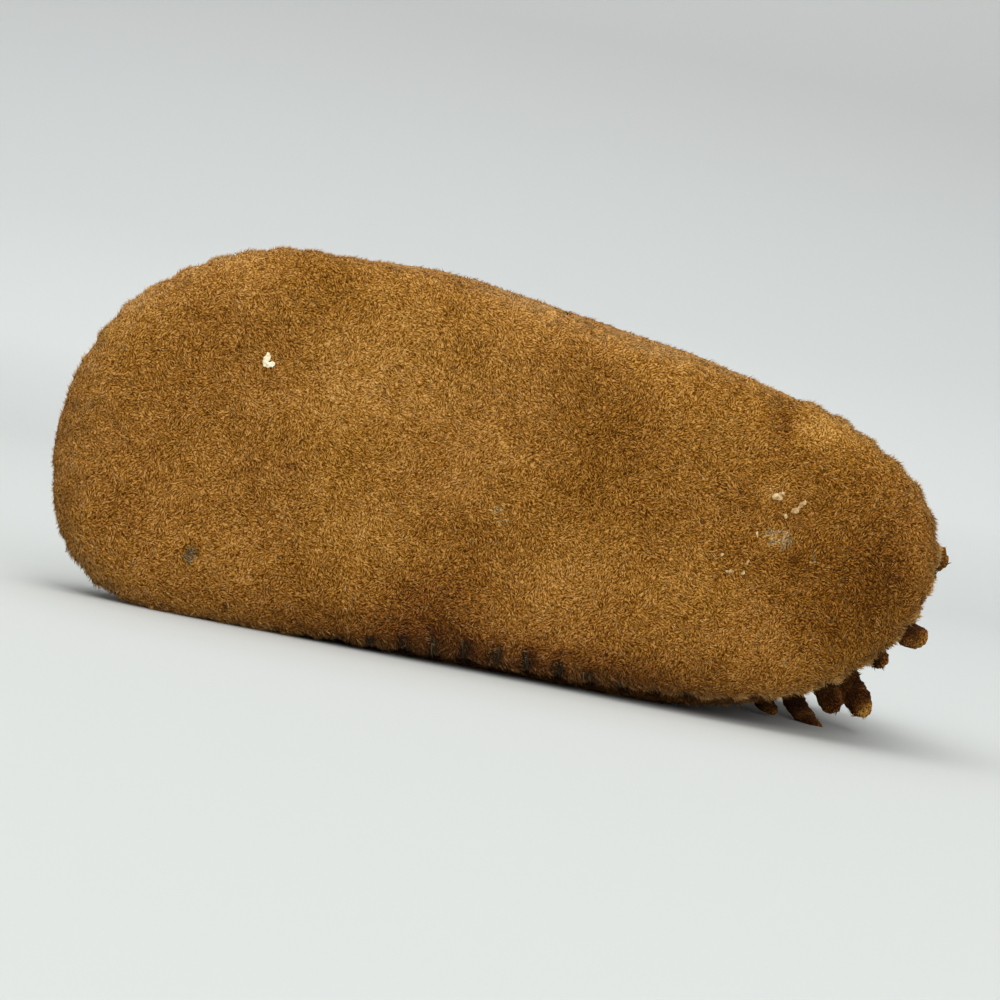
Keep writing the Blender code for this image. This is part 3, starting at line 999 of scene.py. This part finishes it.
WHIP_STITCH = (
    Bite(4.6, -0.92, -3.0),
    Bite(3.9, -0.86, 1.8),
    Bite(2.4, -0.68, 3.0),
    Bite(0.9, -0.36, 3.2),
    Bite(0.2, -0.05, 3.2),
    Bite(0.2, 0.90, 3.0),
    Bite(-0.9, 2.30, 1.8),
    Bite(-1.3, 3.10, -3.0),
)

# Millimetres (outwards, up) over the ridge of the toe's seam, and strand radii off the suede
TOE_STITCH = ((-2.2, 0.6), (-1.5, 0.4), (-0.5, 0.2), (0.5, -0.5), (1.4, -1.6), (1.9, -2.4))
TOE_STITCH_OFF = (-2.5, 0.8, 1.1, 1.1, 0.8, -2.5)

# Millimetres along the collar's seam, and strand radii off the suede
COLLAR_STITCH = (-1.5, -1.1, 0, 1.1, 1.5)
COLLAR_STITCH_OFF = (-2.5, 0.9, 1.2, 0.9, -2.5)


def seam_heights(places):
    """The seam's height over the sole at each place, measured on the sole's solid."""
    solid = shoe(points_of(frame["nodes"]["sole"].data))
    heights = []
    for along, across in places:
        near = np.hypot(solid[:, 0] - along, solid[:, 2] - across) < 6 * MM
        heights.append(solid[near, 1].max())
    return np.array(heights)


def whip_reaches(places):
    """How far down the sole's side each stitch bites: most under the arch, least on the outer side."""
    along, across = places.T / MM
    under_arch = np.exp(-(((along - 2) / 25) ** 4)) * (across < -15)
    uneven = np.random.default_rng(50).uniform(0.95, 1.04, len(places))
    along_side = 0.20 + 0.06 * fade(along, -45, -20) + 0.08 * fade(along, 50, 64)
    along_side *= 1 - 0.50 * fade(across, -4, 12)
    return (along_side + 0.44 * under_arch) * uneven


def whip_paths(places, inwards, heights):
    """Each stitch's middle line in shoe coordinates, a row for each bite."""
    paths = []
    for place, inward, ahead, height, reach in zip(
        places, inwards, along_outline(inwards), heights, whip_reaches(places)
    ):
        rows = []
        for index, bite in enumerate(WHIP_STITCH):
            share = index / (len(WHIP_STITCH) - 1) - 0.5
            inset = bite.inset * (reach if bite.inset > 0 else 1)
            up = height + (bite.climb * MM if bite.climb > 0 else bite.climb * reach * height)
            flat = place + inward * inset * MM + ahead * STITCH_SLANT * share
            rows.append((flat[0], up, flat[1]))
        paths.append(rows)
    return np.array(paths)


def add_stitches(name, paths, beside, trees, offs, count, thread, seed):
    """Stitches of some strands each, side by side, snapped onto the surfaces."""
    rng = np.random.default_rng(seed)
    strands = []
    for path, sideways in zip(paths, beside):
        bites = np.arange(len(path))
        fine = np.linspace(0, len(path) - 1, 2 * len(path) - 1)
        for strand in range(count):
            away = (strand - (count - 1) / 2) * STRAND_PITCH
            wobble = rng.normal(0, STRAND_WOBBLE, (len(path), 3))
            stray = rng.normal(0, STRAND_STRAY, 3)
            bow = np.sin(np.linspace(0, math.pi, len(path)) + rng.normal(0, 0.5))
            bow = bow * rng.normal(0, STRAND_BOW)
            rows = path + sideways * (away + bow[:, None]) + wobble
            rows += np.linspace(-1, 1, len(path))[:, None] * stray
            heights = np.interp(fine, bites, offs) * STRAND_RADIUS
            heights = heights + rng.uniform(0, 0.5) * STRAND_RADIUS
            strands.append(snapped(world(between(fine, bites, rows)), trees, heights))
    charts = np.random.default_rng(seed + 1).uniform(0.05, 0.95, (len(strands), 2)) ** (1.6, 1.0)
    return tubes(name, strands, charts, thread)


def point_tree(points):
    """Points to search for the nearest one."""
    tree = KDTree(len(points))
    for index, point in enumerate(points):
        tree.insert(Vector(point), index)
    tree.balance()
    return tree


def dented(thing, tree, depth, reach):
    """Presses a skin in round the points that the tree holds, or draws it out by a negative depth."""

    def height(points, normals):
        away = np.array([tree.find(Vector(point))[2] for point in points])
        return -depth * np.exp(-((away / reach) ** 2))

    relief(thing, height)


def puckered(thing, places):
    """Pulls a piece's side in at each stitch, and lets it swell between them."""
    tree = point_tree([(along, 0, across) for along, across in places])

    def height(points, normals):
        here = shoe(points)
        away = np.array([tree.find(Vector((along, 0, across)))[2] for along, _, across in here])
        wave = np.exp(-((away / PUCKER_REACH) ** 2)) - PUCKER_SWELL
        return -PUCKER_DEPTH * wave * fade(here[:, 1], PUCKER_START, PUCKER_END) * (away < 6 * MM)

    relief(thing, height)


def toe_seam_line():
    """Fine points on the seam round the top of the toe, in shoe coordinates, from inner to outer side."""
    turns = np.linspace(-math.pi / 2, math.pi / 2, TOE_SEAM_POINTS)
    half = np.where(turns < 0, TOE_SEAM_INNER, TOE_SEAM_OUTER)
    return np.stack([
        TOE_SEAM_BACK - TOE_SEAM_LENGTH * np.cos(turns),
        TOE_SEAM_UP + TOE_SEAM_CLIMB * np.cos(turns),
        TOE_SEAM_MIDDLE + half * np.sin(turns),
    ], axis=1)


def away_from_toe(places):
    """Level directions square to the toe's seam, away from its middle."""
    ahead = unit(np.gradient(places, axis=0))
    outwards = unit(np.stack([-ahead[:, 2], np.zeros(len(places)), ahead[:, 0]], axis=1))
    facing = np.einsum("ij,ij->i", outwards, places - places.mean(axis=0))
    return outwards * np.sign(facing)[:, None]


def toe_seam_stations():
    """Evenly spaced places on the toe's seam, directions along it, and outward directions in plan."""
    line = toe_seam_line()
    lengths = np.linalg.norm(np.diff(line, axis=0), axis=1)
    run = np.concatenate([[0], np.cumsum(lengths)])
    count = round(run[-1] / TOE_SEAM_PITCH)
    stations = (np.arange(count) + 0.5) * run[-1] / count
    places = between(stations, run, line)
    return places, unit(np.gradient(places, axis=0)), away_from_toe(places)


def toe_seam_paths(places, outwards):
    """Short whip stitches over the ridge of the toe's seam."""
    return np.array([
        [place + outward * out * MM + (0, rise * MM, 0) for out, rise in TOE_STITCH]
        for place, outward in zip(places, outwards)
    ])


def gather_lines(places, outwards):
    """Points down the toe's side from each stitch, where the suede is gathered."""
    rows = []
    for place, outward in zip(places, outwards):
        for share in np.linspace(0, 1, 7):
            down = outward * (0.5 + 2.2 * share**0.7) * MM + (0, -GATHER_LENGTH * share, 0)
            rows.append(place + down)
    return world(np.array(rows))


def running_stitches(places, inwards, height):
    """Short stitches along a level line, in shoe coordinates."""
    rows = []
    for place, forward in zip(places, along_outline(inwards)):
        row = [place + forward * off * MM for off in COLLAR_STITCH]
        rows.append([(flat[0], height, flat[1]) for flat in row])
    return np.array(rows)


# ---------------------------------------------------------------- the shoe's pieces


def sole_relief(points, normals):
    """A worn soft sole: lumps, waves, a crease and a swell at the heel, fuller ends and outer side."""
    along, up, across = shoe(points).T / MM
    lumps = 0.10 * rumple(points, 2.4 * MM, 11) + 0.16 * rumple(points, 7 * MM, 12)
    waves = 0.35 * rumple(points, 26 * MM, 13)
    crease = np.exp(-(((along - 45 + 0.25 * (across - 22)) / 1.6) ** 2))
    crease *= fade(across, 12, 20)
    swell = np.exp(-(((along - 51) / 5) ** 2) - ((across - 21) / 4) ** 2)
    ends = fade(up, 0.5, 6) * (1 - fade(along, -62, -30) + fade(along, 42, 62))
    flare = fade(up, 1, 7) * fade(across, 12, 20)
    flare *= fade(along, -30, -12) * (1 - fade(along, 50, 64))
    return (lumps + waves - 0.7 * crease + 0.5 * swell + 0.70 * flare + 0.55 * ends) * MM


class Fold(NamedTuple):
    """A soft trough across the front of the ankle, in millimetres."""

    up: float  # where it crosses along = 15
    slope: float
    width: float
    depth: float


ANKLE_FOLDS = (
    Fold(58, -0.25, 3.0, 1.1),
    Fold(49, -0.10, 2.5, 0.8),
    Fold(41, 0.12, 2.8, 0.7),
)


def upper_relief(points, normals):
    """Lumps and waves of soft suede, and the ankle's folds."""
    along, up, _ = shoe(points).T / MM
    lumps = 0.10 * rumple(points, 2.6 * MM, 21) + 0.22 * rumple(points, 8 * MM, 22)
    waves = 0.5 * rumple(points, 28 * MM, 23)
    folds = np.zeros(len(points))
    for fold in ANKLE_FOLDS:
        off = (up - fold.up - fold.slope * (along - 15)) / fold.width
        folds += fold.depth * np.exp(-(off**2)) * (1 - 0.5 * off) * (1 - fade(along, 10, 50))
    return (lumps + waves - folds) * MM


def cuff_relief(points, normals):
    """Rough lumps of suede cut by hand, thickest and roughest where the strips end at the heel."""
    along, up, _ = shoe(points).T / MM
    ends = (1 - fade(up, 31, 42)) * fade(along, 52, 64)
    lumps = 0.16 * rumple(points, 2.2 * MM, 31, 2) + 0.25 * rumple(points, 9 * MM, 32)
    return (lumps + ends * (0.42 + 0.20 * rumple(points, 1.9 * MM, 33))) * MM


def trim_collar(thing):
    """Evens out the upper's rim, a little below the cuff's."""
    here = shoe(points_of(thing.data))
    over = np.maximum(here[:, 1] - COLLAR_RIM, 0)
    here[:, 1] -= RIM_TRIM * over
    move_points(thing, world(here))


def strip_edges():
    """Fine world points along the outer edges of the fringe's strips."""
    thing = plain_copy("fringe_cuff", "edges")
    mesh = thing.data
    points, normals = points_of(mesh), normals_of(mesh)
    outer = outside(points, normals) > 0
    here = shoe(points)
    shares = np.linspace(0, 1, STRIP_POINTS)[:, None]
    rows = []
    for edge in mesh.edges:
        first, second = edge.vertices
        run = here[second] - here[first]
        long = np.linalg.norm(run)
        upright = abs(run[1]) > 0.5 * long and long > STRIP_EDGE
        below_band = max(here[first, 1], here[second, 1]) < BAND_FOOT
        if upright and below_band and outer[first] and outer[second]:
            rows.append(points[first] + (points[second] - points[first]) * shares)
    bpy.data.objects.remove(thing)
    return np.concatenate(rows)


def let_out(thing):
    """Stands the ends of the strips behind the heel a little further off the shoe."""
    points = points_of(thing.data)
    along, up, _ = shoe(points).T / MM
    ends = (1 - fade(up, 30, 46)) * fade(along, 50, 64)
    move_points(thing, points + unit(from_core(points)) * (ends * 1.2 * MM)[:, None])


class Flake(NamedTuple):
    """A dried fleck on the sole, in millimetres on the shoe's axes."""

    along: float
    across: float
    long: float
    wide: float
    turn: float  # degrees from the shoe's length


TOE_FLAKES = (
    Flake(-42.0, 14.9, 2.3, 1.10, 80),
    Flake(-41.5, 14.1, 1.7, 0.90, 20),
    Flake(-40.9, 14.3, 0.9, 0.70, -30),
)
HEEL_FLAKES = (
    Flake(45.9, 8.3, 1.9, 1.20, 0),
    Flake(46.6, 8.9, 1.0, 0.70, 30),
    Flake(50.3, 7.8, 1.8, 0.85, 50),
    Flake(49.4, 6.6, 1.5, 1.05, 25),
    Flake(48.0, 5.4, 1.0, 0.70, 100),
    Flake(44.6, 9.5, 0.4, 0.30, 0),
    Flake(43.8, 1.6, 1.0, 0.40, -70),
    Flake(38.8, -2.9, 0.7, 0.40, 45),
    Flake(43.2, -3.1, 0.6, 0.40, 70),
    Flake(42.9, -3.7, 0.5, 0.40, 10),
    Flake(42.7, -5.2, 0.8, 0.60, 60),
    Flake(40.7, -5.4, 1.0, 0.90, 30),
    Flake(40.0, -5.6, 0.5, 0.40, 80),
    Flake(38.2, -6.6, 0.5, 0.30, 45),
)


def add_flakes(name, flakes, tree, material, seed):
    """Small lumpy flecks, pressed into the nap, as one piece."""
    made = []
    for number, flake in enumerate(flakes):
        spot = Vector(world(np.array([[flake.along * MM, 0, flake.across * MM]]))[0])
        place, normal, _, _ = tree.find_nearest(spot)
        bpy.ops.mesh.primitive_ico_sphere_add(subdivisions=3, radius=1)
        thing = bpy.context.active_object
        size = Matrix.Diagonal((flake.long / 2 * MM, flake.wide / 2 * MM, FLECK_HALF, 1))
        facing = normal.to_track_quat("Z", "Y").to_matrix().to_4x4()
        spin = Matrix.Rotation(math.radians(flake.turn), 4, "Z")
        thing.data.transform(Matrix.Translation(place + normal * FLECK_RISE) @ facing @ spin @ size)
        points = points_of(thing.data)
        bumps = rumple(points, FLECK_LUMP, seed + number, 2)
        points += unit(points - points.mean(axis=0)) * (bumps * FLECK_BUMP)[:, None]
        move_points(thing, points)
        made.append(thing)
    bpy.ops.object.select_all(action="DESELECT")
    for thing in made:
        thing.select_set(True)
    bpy.context.view_layer.objects.active = made[0]
    bpy.ops.object.join()
    flecks = bpy.context.active_object
    flecks.name = flecks.data.name = name
    flecks.data.materials.append(material)
    bpy.ops.object.shade_smooth()
    return flecks


# ---------------------------------------------------------------- stage


def make_camera():
    """A long lens square to the sole, rolled so that the heel hangs lower."""
    low, high = CAD_BOX
    aim = Vector(((low.x + high.x) / 2 + AIM_SHIFT, low.y, AIM_HEIGHT * high.z))
    back = Vector((0, -math.cos(CAMERA_ELEVATION), math.sin(CAMERA_ELEVATION)))
    data = bpy.data.cameras.new("camera")
    data.lens = LENS
    data.sensor_width = 36
    camera = bpy.data.objects.new("camera", data)
    bpy.context.collection.objects.link(camera)
    facing = (-back).to_track_quat("-Z", "Y").to_matrix().to_4x4()
    turned = Matrix.Rotation(CAMERA_ROLL, 4, back) @ facing
    camera.matrix_world = Matrix.Translation(aim + back * CAMERA_DISTANCE) @ turned
    bpy.context.scene.camera = camera


def area_light(name, place, target, size, power, colour):
    """A round soft light at a place, turned to a target."""
    data = bpy.data.lights.new(name, "AREA")
    data.shape = "DISK"
    data.size = size
    data.energy = power
    data.color = colour
    light = bpy.data.objects.new(name, data)
    bpy.context.collection.objects.link(light)
    light.location = place
    light.rotation_euler = (Vector(target) - Vector(place)).to_track_quat("-Z", "Y").to_euler()


def paper_finish():
    """Matt paper with painted light and shade, whose tone changes a little as it climbs."""
    material, tree, shader = principled("paper", 0.9, Specular_IOR_Level=0.1)
    place = add(tree, "TexCoord", {})
    split = add(tree, "SeparateXYZ", {"Vector": place.outputs["Object"]})
    climb = {"Value": split.outputs["Z"], "From Min": 0.0, "From Max": PAPER_FADE}
    climb = add(tree, "MapRange", climb, interpolation_type="SMOOTHSTEP")
    tree.links.new(ramp(tree, PAPER_LIGHT_AND_SHADE, climb.outputs["Result"]), shader.inputs["Base Color"])
    return material


def make_stage():
    """A pale floor that curves up into the backdrop, and soft light from above."""
    profile = [(PAPER_FRONT, 0.0), (PAPER_BACK - PAPER_BEND, 0.0)]
    for step in range(1, PAPER_STEPS + 1):
        turn = math.pi / 2 * step / PAPER_STEPS
        back = PAPER_BACK - PAPER_BEND + PAPER_BEND * math.sin(turn)
        profile.append((back, PAPER_BEND * (1 - math.cos(turn))))
    profile.append((PAPER_BACK, PAPER_TOP))
    points = [(side * PAPER_WIDTH / 2, y, z) for y, z in profile for side in (-1, 1)]
    faces = [(2 * row, 2 * row + 1, 2 * row + 3, 2 * row + 2) for row in range(len(profile) - 1)]
    stage = new_mesh("floor", points, faces, paper_finish())
    area_light("overhead", (-0.25, -0.35, 1.3), (0, 0, 0), 1.7, 12, (1.0, 0.985, 0.96))
    area_light("front", (0.3, -1.5, 0.7), (0, 0, 0.03), 1.0, 12.9, (1.0, 0.99, 0.985))
    area_light("rear", (0, 0.62, 1.0), (0, 0.78, 0), 1.3, 5, (0.97, 0.985, 1.0))
    surroundings = bpy.data.worlds.new("surroundings")
    surroundings.use_nodes = True
    sky = surroundings.node_tree.nodes["Background"]
    sky.inputs["Color"].default_value = (0.97, 0.985, 1.0, 1)
    sky.inputs["Strength"].default_value = 0.42
    bpy.context.scene.world = surroundings
    bpy.context.scene.view_settings.view_transform = "Standard"


# ---------------------------------------------------------------- making it


SOLE_GROUND = Look(0.38, 0.20, 0)
UPPER_GROUND = Look(0.36, 0.28, 0)
CUFF_GROUND = Look(0.36, 0.28, 1)
INSOLE_GROUND = Look(0.50, 0.20, 0)
SOLE_NAP = Look(0.44, 0.20, 0)
UPPER_NAP = Look(0.42, 0.28, 0)
CUFF_NAP = Look(0.42, 0.28, 1)


def form_toe_seam(upper):
    """Raises the edge round the toe's top, with a groove and gathers. Its stitches' lines and run."""
    places, ahead, outwards = toe_seam_stations()
    line = toe_seam_line()
    level = np.zeros(TOE_SEAM_POINTS)
    edge = snapped(world(line), [tree_of(upper)], level)
    foot = snapped(world(line + away_from_toe(line) * TOE_GROOVE_OFF), [tree_of(upper)], level)
    dented(upper, point_tree(edge), -TOE_RIDGE, TOE_RIDGE)
    dented(upper, point_tree(foot), TOE_GROOVE_DEPTH, TOE_GROOVE_REACH)
    dented(upper, point_tree(gather_lines(places, outwards)), GATHER_DEPTH, GATHER_REACH)
    return toe_seam_paths(places, outwards), ahead


def main():
    """The whole shoe on its stage: finishes, skins, seams, flecks and nap."""
    make_camera()
    make_stage()

    colours, grain = suede_colours(), suede_grain()
    nap = nap_finish("suede_nap", colours)
    thread = nap_finish("waxed_thread", thread_colours())
    sole_ground = suede_finish("sole_suede", colours, grain)
    upper_ground = suede_finish("upper_suede", colours, grain)

    sole = skin("sole", "sole_skin", SOLE_FACE)
    upper = skin("upper", "upper_skin", UPPER_FACE)
    cuff = skin("fringe_cuff", "cuff_skin", CUFF_FACE, 3)
    insole = skin("insole", "insole_skin", INSOLE_FACE)
    applied(insole, "DECIMATE", ratio=INSOLE_KEPT)
    relief(sole, sole_relief)
    relief(upper, upper_relief)
    trim_collar(upper)
    dented(cuff, point_tree(strip_edges()), SLIT_DEPTH, SLIT_REACH)
    let_out(cuff)
    relief(cuff, cuff_relief)

    # Seams: sole to upper, round the top of the toe, and under the collar
    places, inwards = level_loop(sole, EDGE_HEIGHT, STITCH_PITCH)
    whip_lines = whip_paths(places, inwards, seam_heights(places))
    bites = point_tree(world(whip_lines[:, 1:-1].reshape(-1, 3)))
    puckered(sole, places)
    dented(sole, bites, DENT_DEPTH, DENT_REACH)
    dented(upper, bites, DENT_DEPTH, DENT_REACH)
    toe_lines, toe_ahead = form_toe_seam(upper)
    collar_places, collar_inwards = level_loop(cuff, COLLAR_SEAM_HEIGHT, COLLAR_SEAM_PITCH)
    collar_lines = running_stitches(collar_places, collar_inwards, COLLAR_SEAM_HEIGHT)

    shaded(sole, sole_ground, SOLE_GROUND, bites)
    shaded(upper, upper_ground, UPPER_GROUND, bites)
    shaded(cuff, upper_ground, CUFF_GROUND, bites)
    shaded(insole, upper_ground, INSOLE_GROUND, bites)

    on_sole, on_upper, on_cuff = tree_of(sole), tree_of(upper), tree_of(cuff)
    round_sole = np.insert(along_outline(inwards), 1, 0, axis=1)
    upwards = np.tile((0.0, 1.0, 0.0), (len(collar_lines), 1))
    sole_stitches = add_stitches(
        "sole_stitches", whip_lines, round_sole, [on_sole, on_upper],
        [bite.off for bite in WHIP_STITCH], WHIP_STRANDS, thread, 51,
    )
    toe_stitches = add_stitches(
        "toe_stitches", toe_lines, toe_ahead, [on_upper], TOE_STITCH_OFF, TOE_STRANDS, thread, 53
    )
    collar_stitches = add_stitches(
        "collar_stitches", collar_lines, upwards, [on_cuff], COLLAR_STITCH_OFF, COLLAR_STRANDS, thread, 55
    )
    dried, stained = fleck_finish("dried_fleck", CLEAN_FLECK), fleck_finish("stained_fleck", STAINED_FLECK)
    toe_flecks = add_flakes("toe_flecks", TOE_FLAKES, on_sole, dried, 90)
    heel_flecks = add_flakes("heel_flecks", HEEL_FLAKES, on_sole, stained, 93)

    def unstitched(points, normals):
        """Where a skin is outside and clear of the seam's threads."""
        away = np.array([bites.find(Vector(point))[2] for point in points])
        return outside(points, normals) * (0.2 + 0.8 * fade(away, 0.5 * MM, 1.3 * MM))

    pieces = {
        "sole_suede": [sole, toe_flecks, heel_flecks],
        "upper_suede": [upper, sole_stitches, toe_stitches],
        "fringe_suede": [cuff, collar_stitches],
        "insole_suede": [insole],
    }
    coats = (
        ("sole_suede", sole, SOLE_PILES, 61, unstitched, SOLE_NAP),
        ("sole_suede", sole, SOLE_RIM_PILES, 91, on_rim, SOLE_NAP),
        ("upper_suede", upper, UPPER_RIM_PILES, 96, by_seam, UPPER_NAP),
        ("upper_suede", upper, UPPER_PILES, 71, unstitched, UPPER_NAP),
        ("fringe_suede", cuff, CUFF_PILES, 81, below_rim, CUFF_NAP),
    )
    for slot, thing, piles, seed, keep, look in coats:
        pieces[slot] += add_nap(thing, piles, seed, keep, look, nap, bites)
    for slot, members in pieces.items():
        for member in members:
            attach(member, "root")
    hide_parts("sole")
    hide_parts("upper")
    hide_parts("fringe_cuff")
    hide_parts("insole")


main()
